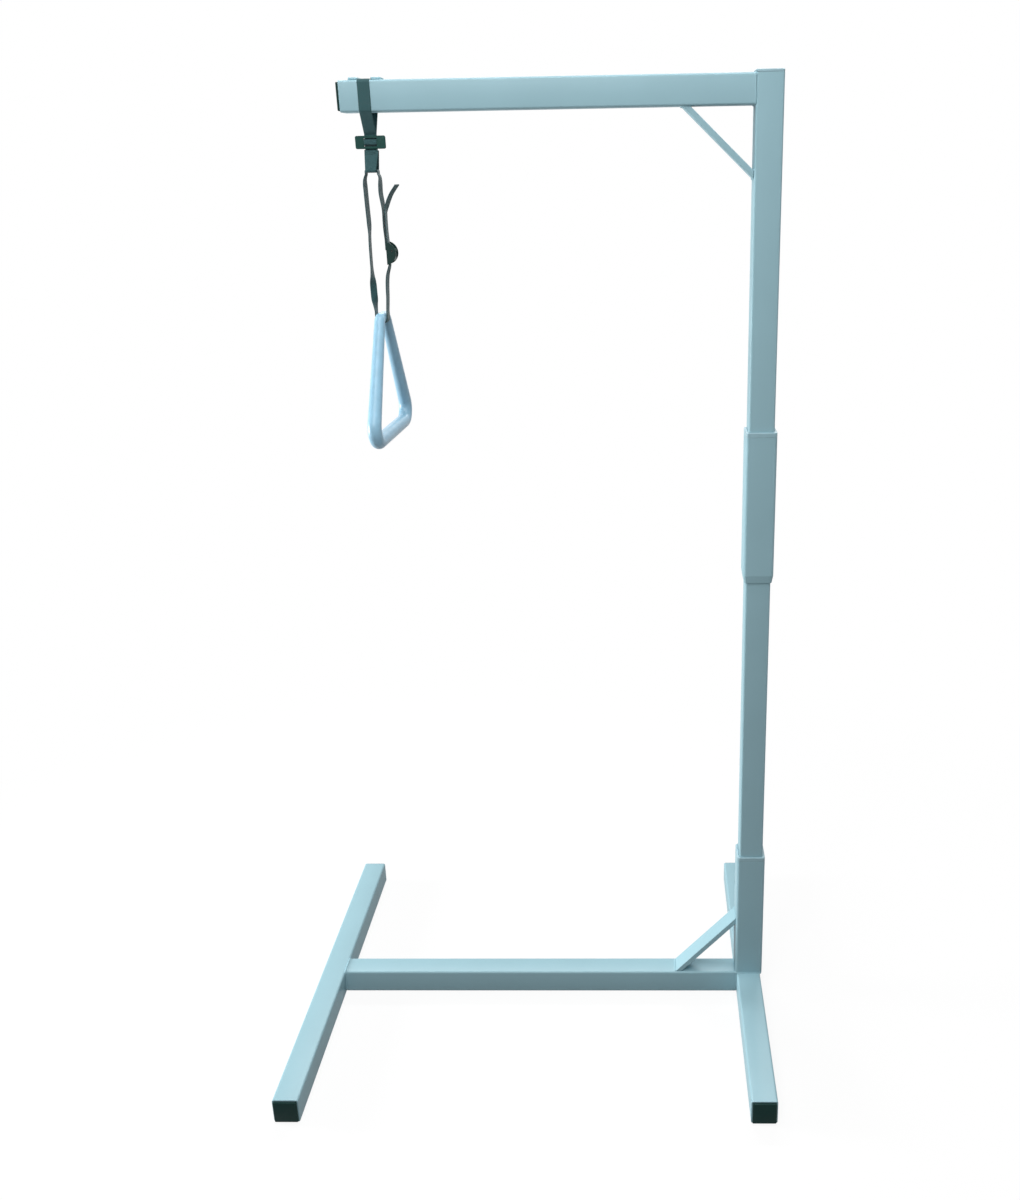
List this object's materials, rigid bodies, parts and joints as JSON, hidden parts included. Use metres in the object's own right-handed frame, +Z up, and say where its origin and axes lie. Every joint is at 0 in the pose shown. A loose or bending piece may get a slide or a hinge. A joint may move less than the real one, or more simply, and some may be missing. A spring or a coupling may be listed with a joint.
{
  "type": "bed trapeze",
  "caption": "Free-standing bed trapeze: low H-shaped base of square tube, plug-together mast with an arm, and an adjustable webbing strap with a triangular hand grip.",
  "frame": {"origin": "bottom centre of the whole part's box, on the floor", "axes": "+X along the base from the plain foot to the mast foot, +Y towards the back of the picture, +Z up"},
  "size_m": [0.995, 0.856, 1.916],
  "materials": {
    "coat": "pale blue-grey semi-gloss powder coat",
    "cap": "satin near-black moulded plastic",
    "bush": "satin pale grey moulded plastic",
    "steel": "zinc-plated",
    "webbing": "dark teal-grey woven webbing",
    "buckle": "dark moulded plastic",
    "grip": "pale blue semi-gloss moulded plastic"
  },
  "bodies": {
    "base_frame": {"left_cross_foot": "coat", "right_cross_foot": "coat", "base_beam": "coat", "mast_stub": "coat", "base_brace": "coat", "left_front_foot_cap": "cap", "left_rear_foot_cap": "cap", "right_front_foot_cap": "cap", "right_rear_foot_cap": "cap", "stub_guide_bush": "bush", "lower_lock_nut": "coat"},
    "lower_lock_pad_body": {"lower_lock_pad": "steel"},
    "lower_lock_knob_body": {"lower_lock_screw": "steel", "lower_lock_knob": "cap"},
    "lower_mast_body": {"lower_mast": "coat", "coupling_sleeve": "coat", "sleeve_spacer": "coat", "sleeve_guide_bush": "bush", "upper_lock_nut": "coat"},
    "upper_lock_pad_body": {"upper_lock_pad": "steel"},
    "upper_lock_knob_body": {"upper_lock_screw": "steel", "upper_lock_knob": "cap"},
    "upper_mast_body": {"upper_mast": "coat", "arm": "coat", "arm_brace": "coat", "mast_top_cap": "bush", "arm_end_cap": "cap", "outer_strap_stop": "coat", "inner_strap_stop": "coat", "arm_strap_band": "webbing", "front_strap_leg": "webbing", "rear_strap_leg": "webbing"},
    "hanger": {"cross_buckle": "buckle", "hanger_strap": "webbing", "eye_sleeve": "webbing", "loop_top_bight": "webbing"},
    "lower_loop": {"left_strand": "webbing", "upper_right_strand": "webbing", "cam_buckle_frame": "buckle", "cam_hinge_pin": "steel", "cam_spring": "steel", "lower_right_strand": "webbing", "tail_strand": "webbing"},
    "cam_lever_body": {"cam_lever": "buckle"},
    "tail_tip_body": {"tail_tip": "webbing"},
    "grip_bight_body": {"grip_bight": "webbing"},
    "grip_body": {"trapeze_grip": "grip"}
  },
  "joints": [
    {"name": "lower_mast_lift", "type": "slide", "parent": "base_frame", "child": "lower_mast_body", "axis": [0, 0, 1], "range_m": [0, 0.22]},
    {"name": "upper_mast_lift", "type": "slide", "parent": "lower_mast_body", "child": "upper_mast_body", "axis": [0, 0, 1], "range_m": [0, 0.09]},
    {"name": "lower_lock_travel", "type": "slide", "parent": "base_frame", "child": "lower_lock_pad_body", "axis": [0, 1, 0], "range_m": [0, 0.0025]},
    {"name": "lower_lock_turn", "type": "hinge", "parent": "lower_lock_pad_body", "child": "lower_lock_knob_body", "pos_m": [0.4675, 0.0266, 0.29], "axis": [0, 1, 0], "range_deg": [0, 720]},
    {"name": "upper_lock_travel", "type": "slide", "parent": "lower_mast_body", "child": "upper_lock_pad_body", "axis": [0, 1, 0], "range_m": [0, 0.0025]},
    {"name": "upper_lock_turn", "type": "hinge", "parent": "upper_lock_pad_body", "child": "upper_lock_knob_body", "pos_m": [0.4675, 0.0266, 1.22], "axis": [0, 1, 0], "range_deg": [0, 720]},
    {"name": "hanger_swing", "type": "hinge", "parent": "upper_mast_body", "child": "hanger", "pos_m": [-0.23865, 0, 1.823], "axis": [1, 0, 0], "range_deg": [-50, 50], "deforming": ["front_strap_leg", "rear_strap_leg"]},
    {"name": "loop_swing", "type": "hinge", "parent": "hanger", "child": "lower_loop", "pos_m": [-0.24075, 0, 1.7631], "axis": [0, 1, 0], "range_deg": [-30, 30], "deforming": ["upper_right_strand"]},
    {"name": "cam_lever_press", "type": "hinge", "parent": "lower_loop", "child": "cam_lever_body", "pos_m": [-0.21375, 0, 1.6231], "axis": [0, 1, 0], "range_deg": [0, 20], "stiffness_Nm_per_rad": 0.01, "springref_deg": -28.65},
    {"name": "handle_height", "type": "slide", "parent": "lower_loop", "child": "grip_bight_body", "axis": [0, 0, 1], "range_m": [-0.02, 0.035], "deforming": ["left_strand", "lower_right_strand"]},
    {"name": "tail_travel", "type": "slide", "parent": "lower_loop", "child": "tail_tip_body", "axis": [0, 0, 1], "range_m": [-0.04, 0.07], "deforming": ["tail_strand"]},
    {"name": "handle_tilt", "type": "hinge", "parent": "grip_bight_body", "child": "grip_body", "pos_m": [-0.24325, 0, 1.504], "axis": [0.0436, 0.999, 0], "range_deg": [-75, 75]}
  ],
  "couplings": [
    {"joint": "lower_lock_turn", "follows": "lower_lock_travel", "rad_per_m": 5026.4},
    {"joint": "upper_lock_turn", "follows": "upper_lock_travel", "rad_per_m": 5026.4},
    {"joint": "tail_travel", "follows": "handle_height", "ratio": 2}
  ]
}
